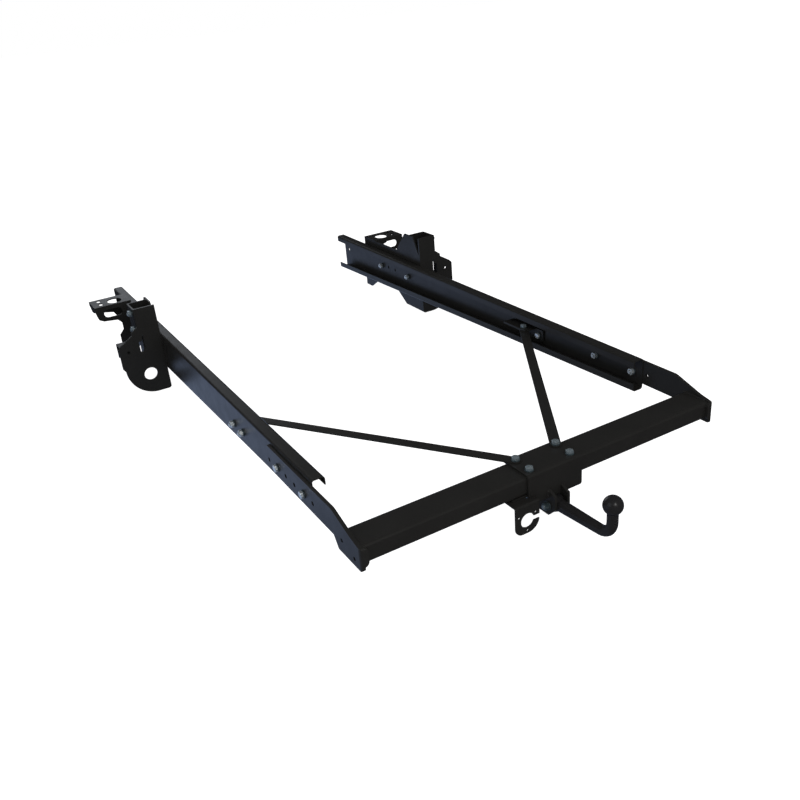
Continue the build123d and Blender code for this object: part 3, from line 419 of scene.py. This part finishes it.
tail_down = (1 - settle) * np.array([math.cos(TILT), -math.sin(TILT)]) + settle * np.array([1.0, 0.0])
lines = np.concatenate([ball_lines, bend_lines, tail_lines])
down = np.concatenate([ball_down, bend_down, tail_down])
down /= np.linalg.norm(down, axis=1)[:, None]
thicken = np.clip((tail_y - shank_start_y) / (SHANK_END - shank_start_y), 0, 1)
radii = np.concatenate([
    profile[:, 0], np.full(len(bend_turn), NECK_R), NECK_R + (SHANK_R - NECK_R) * thicken
])
swell = np.clip((tail_y - TONGUE_REAR) / TONGUE_SWELL, 0, 1)
flatten = np.concatenate([np.zeros(len(profile) + len(bend_turn)), np.sqrt(swell)])
round_off = np.clip((TONGUE_END - tail_y) / END_ROUND, 0.0, 1)
height_of = np.concatenate([
    np.zeros(len(profile) + len(bend_turn)),
    (TONGUE_HALF - SHANK_R) * np.sqrt(swell) - END_DROP * (1 - round_off),
])
angle = np.linspace(0, 2 * math.pi, AROUND, endpoint=False)
power = 2 + 6 * flatten[:, None]
blunt = (np.abs(np.cos(angle)) ** power + np.abs(np.sin(angle)) ** power) ** (-1 / power)
# the flash line where the two dies met, ground almost flush, along the middle plane
seam = FLASH_HEIGHT * np.exp(-((np.cos(angle) / FLASH_WIDTH) ** 2))
worked = np.concatenate([np.zeros(len(profile)), np.ones(len(lines) - len(profile))])
reach_out = radii[:, None] * blunt + seam * worked[:, None]
side = reach_out * np.cos(angle)
rise = (reach_out + height_of[:, None]) * np.sin(angle)
forging = np.stack([
    side,
    lines[:, 0][:, None] - rise * down[:, 1][:, None],
    lines[:, 1][:, None] + rise * down[:, 0][:, None],
], axis=-1)
neck_coat = coated(
    "neck_coat", coat_group,
    {"Gloss": 0.30, "Unevenness": 0.05, "Peel Size": 420.0, "Peel Depth": 0.02, "Edge Round": 0.0004,
     "Colour": (0.0200, 0.0192, 0.0200, 1), "Thin Colour": (0.0245, 0.0237, 0.0250, 1)},
    Specular_IOR_Level=0.45,
)
neck = skin("forged_ball_and_neck", [(forging, False)], neck_coat, angle=50.0)
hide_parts("ball_neck")

# Fasteners, zinc plated and clear passivated, a little cloudy and with a fine grain. The ones
# on the rails and side plates get a paler copy of the zinc, a painted highlight. The washers,
# the neck's nuts, the sleeves and the pivot bolt get a darker copy, painted shade.
zinc_group, zinc_in, zinc_out = node_group(
    "zinc_plate",
    [("Gloss", 0.3), ("Edge Round", 0.0004)],
    [("Colour", (0.46, 0.54, 0.58, 1)), ("Tint", (0.36, 0.45, 0.50, 1))],
    [("Colour", "Color"), ("Roughness", "Float"), ("Normal", "Vector")],
)
place = add_node(zinc_group, "ShaderNodeTexCoord").outputs["Object"]
cloud = spread(zinc_group, noise(zinc_group, place, 160.0, 4.0), 0.35, 0.65, 0.0, 1.0)
mixed = add_node(
    zinc_group, "ShaderNodeMix", {0: cloud, 6: zinc_in["Colour"], 7: zinc_in["Tint"]}, data_type="RGBA"
)
zinc_group.links.new(mixed.outputs[2], zinc_out["Colour"])
swing = spread(zinc_group, noise(zinc_group, place, 420.0, 3.0), 0.3, 0.7, -0.04, 0.05)
gloss = add_node(
    zinc_group, "ShaderNodeMath", {0: zinc_in["Gloss"], 1: swing}, operation="ADD", use_clamp=True
)
zinc_group.links.new(gloss.outputs[0], zinc_out["Roughness"])
grain = noise(zinc_group, place, 1800.0, 2.0)
edge = add_node(zinc_group, "ShaderNodeBevel", {"Radius": zinc_in["Edge Round"]}, samples=4)
brushed = add_node(
    zinc_group, "ShaderNodeBump",
    {"Height": grain, "Strength": 0.05, "Distance": 0.001, "Normal": edge.outputs[0]},
)
zinc_group.links.new(brushed.outputs[0], zinc_out["Normal"])
zinc = coated("zinc_plate", zinc_group, {"Gloss": 0.26}, Metallic=0.66)
# a paler copy of the same zinc: painted highlight, for the fasteners that show brightest
painted_lit_zinc = coated(
    "zinc_painted_highlight", zinc_group,
    {"Gloss": 0.24, "Colour": (0.80, 0.84, 0.86, 1), "Tint": (0.62, 0.70, 0.75, 1)}, Metallic=0.62,
)
# a darker copy of the same zinc: painted shade, for washers, sleeves, the pivot bolt and the neck's nuts
painted_shade_zinc = coated(
    "zinc_painted_shade", zinc_group,
    {"Gloss": 0.42, "Colour": (0.16, 0.21, 0.23, 1), "Tint": (0.10, 0.14, 0.16, 1)}, Metallic=0.7,
)
for name, node in nodes.items():
    if name.endswith(("washers", "washer", "sleeves", "pivot_bolt")):
        node.data.materials[0] = painted_shade_zinc

# Hexagon bolts: a forged head with its corners turned off over a thin washer face, a plain
# shank, and a rolled thread that shows where it stands out of the nut.
PITCH = 1.75
THREAD_DEPTH = 0.85
THREAD_SHOWN = 9.0
HEX_AROUND = 48
SEAT_H = 0.4
SEAT_SHARE = 0.475
HEAD_CROWN_SHARE = 0.46
NUT_CROWN_SHARE = 0.47
COUNTERSINK = 0.7
TURNED_OFF = math.tan(math.radians(30))
hex_angle = np.linspace(0, 2 * math.pi, HEX_AROUND, endpoint=False)


def apart(points, axis, gap):
    """The points split into groups wherever one coordinate leaves a space wider than the gap."""
    order = points[np.argsort(points[:, axis])]
    cuts = np.nonzero(np.diff(order[:, axis]) > gap)[0] + 1
    return np.split(order, cuts)


def solids_of(node, axis, gap=14.0, long_gap=300.0):
    """Each fastener of a node, as its own points in millimetres, for fasteners along one axis."""
    found = np.array([v.co for v in nodes[node].data.vertices]) / MM
    groups = [found]
    for across, space in [((axis + 1) % 3, gap), ((axis + 2) % 3, gap), (axis, long_gap)]:
        groups = [part for group in groups for part in apart(group, across, space)]
    return groups


def hex_radius(across_flats):
    """A hexagon's radius at each angle, with a corner at angle zero."""
    return across_flats / 2 / np.cos(np.mod(hex_angle, math.pi / 3) - math.pi / 6)


def frame_of(points, axis):
    """A fastener's middle line and the unit vectors across it, the first towards a corner."""
    line = np.eye(3)[axis]
    flat = points - np.outer(points @ line, line)
    middle = (flat.max(0) + flat.min(0)) / 2
    offset = flat - middle
    corner = offset[np.argmax(np.linalg.norm(offset, axis=1))]
    across = corner / np.linalg.norm(corner)
    return middle, line, across


def rings_about(middle, line, across, heights, radii):
    """Rings round a line: each at its height, with a radius for every angle."""
    other = np.cross(line, across)
    around = np.cos(hex_angle)[:, None] * across + np.sin(hex_angle)[:, None] * other
    return middle + heights[:, None, None] * line + radii[:, :, None] * around


def bolt_rings(points, axis):
    """A bolt in the place of the plain one: tip, thread, shank, washer face, and hexagon head."""
    middle, line, across = frame_of(points, axis)
    along = points @ line
    radius = np.linalg.norm(points - np.outer(along, line) - middle, axis=1)
    if radius[along > along.max() - 1].max() < radius[along < along.min() + 1].max() - 1:
        line = -line
        along = -along
    low, high = along.min(), along.max()
    shank_r = radius[along < low + 3].max()
    corner_r = radius.max()
    flats = corner_r * math.sqrt(3)
    head = high - np.sort(along[radius > corner_r - 0.2])[0]
    thread_h = np.arange(0, THREAD_SHOWN, PITCH / 8)
    turns = np.mod(thread_h[:, None] / PITCH - hex_angle[None] / (2 * math.pi), 1.0)
    ridge = np.clip(1.35 * (1 - np.abs(2 * turns - 1)) - 0.15, 0, 1)
    thread = shank_r - THREAD_DEPTH * (1 - ridge)
    thread = np.minimum(thread, shank_r - 1.3 + 1.1 * thread_h[:, None])
    six = hex_radius(flats)
    seat_r = SEAT_SHARE * flats
    crown_r = HEAD_CROWN_SHARE * flats
    seat = high - low - head
    rows_h = [THREAD_SHOWN + 0.3, seat, seat, seat + SEAT_H]
    rows_r = [np.full(HEX_AROUND, r) for r in (shank_r, shank_r, seat_r, seat_r)]
    for share in np.linspace(0, 1, 7):
        drop = (1 - share) * (corner_r - crown_r) * TURNED_OFF
        rows_h.append(high - low - drop if share else seat + SEAT_H)
        rows_r.append(np.minimum(six, corner_r - share * (corner_r - crown_r)))
    heights = np.concatenate([thread_h, rows_h]) + low
    radii = np.concatenate([thread, rows_r])
    return rings_about(middle, line, across, heights, radii), False


def nut_rings(points, axis):
    """A nut: a ring whose outside is a hexagon turned off at both ends, over a countersunk bore."""
    middle, line, across = frame_of(points, axis)
    along = points @ line
    radius = np.linalg.norm(points - np.outer(along, line) - middle, axis=1)
    low, high = along.min(), along.max()
    bore_r, corner_r = radius.min(), radius.max()
    flats = corner_r * math.sqrt(3)
    crown_r = NUT_CROWN_SHARE * flats
    slope = (corner_r - crown_r) * TURNED_OFF
    six = hex_radius(flats)
    flat = np.ones(HEX_AROUND)
    heights, radii = [0.0, 0.0], [flat * (bore_r + COUNTERSINK), flat * crown_r]
    for share in np.linspace(0.25, 1, 4):
        heights.append(share * slope)
        radii.append(np.minimum(six, crown_r + share * (corner_r - crown_r)))
    heights += [high - low - h for h in heights[:1:-1]] + [high - low, high - low]
    radii += radii[:1:-1] + [flat * crown_r, flat * (bore_r + COUNTERSINK)]
    heights += [high - low - COUNTERSINK, COUNTERSINK]
    radii += [flat * bore_r, flat * bore_r]
    return rings_about(middle, line, across, np.array(heights) + low, np.array(radii)), True


ALONG = {
    "neck": 0, "side_plate": 0, "brace_angle": 0, "bracket": 0, "hood": 0,
    "saddle_rear": 2, "saddle_front": 2, "brace": 2,
}
for group, axis in ALONG.items():
    # sideways fasteners other than the neck's and the hood's get the paler copy, a painted highlight
    plate = zinc if axis == 2 or group in ("neck", "hood") else painted_lit_zinc
    bolts = skin(
        group + "_threaded_bolts",
        [bolt_rings(points, axis) for points in solids_of(group + "_bolts", axis)], plate,
    )
    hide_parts(group + "_bolts")
    nuts = skin(
        group + "_hexagon_nuts",
        [nut_rings(points, axis) for points in solids_of(group + "_nuts", axis)],
        # the neck's nuts, under the beam, get the darker copy: painted shade
        painted_shade_zinc if group == "neck" else plate,
    )
    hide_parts(group + "_nuts")
pivot_nut = skin("pivot_lock_nut", [nut_rings(solids_of("socket_pivot_nut", 2)[0], 2)], zinc)
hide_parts("socket_pivot_nut")

# Weld beads. The side plates are welded to the ends of the beam, the cheeks to the lower
# clamp plate, and the pieces of the front brackets to one another, all before the coat.
BEAD_LEG = 4.5
RIPPLE = 1.6
BEAD_STEP = 0.4
BEAD_ARC = np.radians(np.linspace(0, 90, 7))


def bead(path, first, second, leg=BEAD_LEG):
    """A fillet bead along a path in the corner between two faces.

    Its section is a bulging quarter round whose legs lie along the two given directions, one
    pair for every point. Its size swells and falls with each ripple and runs out at both ends.
    """
    path, first, second = (np.asarray(part, float) for part in (path, first, second))
    step = np.linalg.norm(np.diff(path, axis=0), axis=1)
    run = np.concatenate([[0.0], np.cumsum(step)])
    at = np.linspace(0, run[-1], max(int(run[-1] / BEAD_STEP), 8))
    path, first, second = (
        np.stack([np.interp(at, run, part[:, k]) for k in range(3)], axis=-1)
        for part in (path, first, second)
    )
    ripple = 1 + 0.05 * np.abs(np.sin(math.pi * at / RIPPLE)) + 0.05 * np.sin(at / 7.3)
    ends = np.clip(np.minimum(at, run[-1] - at) / leg, 0.02, 1)
    size = leg * ripple * np.sqrt(1 - (1 - ends) ** 2)
    cos, sin = np.cos(BEAD_ARC), np.sin(BEAD_ARC)
    bulge = 0.82 + 0.18 * np.abs(np.cos(2 * BEAD_ARC))
    outer = (
        path[:, None] + size[:, None, None] * bulge[:, None] * (cos[:, None] * first[:, None]
                                                                 + sin[:, None] * second[:, None])
    )
    tuck = path - 0.3 * (first + second)
    return np.concatenate([outer, tuck[:, None]], axis=1), False


def straight(start, end, first, second, leg=BEAD_LEG):
    """A bead along a straight corner."""
    return bead([start, end], [first, first], [second, second], leg)


def on_both_sides(shells):
    """The right-hand shells and their reflections."""
    flipped = [(rings * np.array([-1.0, 1.0, 1.0]), loop) for rings, loop in shells]
    return list(shells) + flipped


def box_in_mm(node):
    """The lowest and highest corners of a node at rest, in millimetres."""
    return [[corner.x / MM, corner.y / MM, corner.z / MM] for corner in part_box(node)]


def upright(x, y, foot, top, across):
    """A bead up the outer face of a plate, against a face that lies the given way from it."""
    return straight((x, y, foot), (x, y, top), OUT, across)


OUT, AHEAD, BACK, UP, DOWN = (1, 0, 0), (0, 1, 0), (0, -1, 0), (0, 0, 1), (0, 0, -1)
(_, beam_rear, beam_low), (beam_x, beam_front, beam_high) = box_in_mm("cross_beam")
BEAM_CORNER = 8.0
top_run = arc((beam_front - BEAM_CORNER, beam_high - BEAM_CORNER), BEAM_CORNER, 90, 0, 8)
foot_run = arc((beam_front - BEAM_CORNER, beam_low + BEAM_CORNER), BEAM_CORNER, 0, -90, 8)
outline = np.concatenate([[(beam_rear + 12, beam_high)], top_run, foot_run, [(beam_rear + 6, beam_low)]])
normals = np.concatenate([
    [(0, 1)], (top_run - (beam_front - BEAM_CORNER, beam_high - BEAM_CORNER)) / BEAM_CORNER,
    (foot_run - (beam_front - BEAM_CORNER, beam_low + BEAM_CORNER)) / BEAM_CORNER, [(0, -1)],
])
beam_bead = bead(
    np.column_stack([np.full(len(outline), beam_x), outline]),
    np.tile((-1.0, 0.0, 0.0), (len(outline), 1)),
    np.column_stack([np.zeros(len(outline)), normals]), 4.0,
)
skin("beam_end_welds", on_both_sides([beam_bead]), black_coat, angle=60)

_, (cheek_out, cheek_front, cheek_top) = box_in_mm("right_cheek")
(_, saddle_rear, saddle_foot), _ = box_in_mm("saddle_plate")
skin("cheek_welds", on_both_sides([
    straight(
        (cheek_out, beam_rear + 4, cheek_top), (cheek_out, cheek_front - 4, cheek_top), OUT, DOWN,
    ),
    straight(
        (cheek_out, saddle_rear, cheek_top - 1), (cheek_out, saddle_rear, saddle_foot + 2),
        OUT, BACK, 4.0,
    ),
]), black_coat, angle=60)

(_, _, plate_foot), (side_out, _, _) = box_in_mm("right_bracket_side_plate")
_, (_, eye_front, _) = box_in_mm("right_eye_plate")
(_, arm_rear, arm_foot), (_, _, arm_top) = box_in_mm("right_bracket_arm")
(_, web_rear, web_foot), _ = box_in_mm("right_arm_web")
(_, _, gusset_foot), (gusset_out, _, gusset_top) = box_in_mm("right_eye_gusset")
(ledge_in, _, _), (ledge_out, _, ledge_top) = box_in_mm("right_eye_ledge")
(_, _, hood_foot), (_, hood_front, hood_top) = box_in_mm("right_bracket_hood")
skin("bracket_welds", on_both_sides([
    upright(side_out, eye_front, plate_foot + 6, hood_foot - 4, AHEAD),
    upright(side_out, arm_rear, arm_foot + 3, arm_top - 12, BACK),
    upright(side_out, web_rear, web_foot + 3, arm_top - 12, BACK),
    upright(side_out, hood_front, hood_foot + 2, hood_top - 6, AHEAD),
    upright(gusset_out, eye_front, gusset_foot + 6, gusset_top - 5, AHEAD),
    straight(
        (ledge_in + 3, eye_front, ledge_top), (ledge_out - 4, eye_front, ledge_top), AHEAD, UP, 3.0,
    ),
]), black_coat, angle=60)
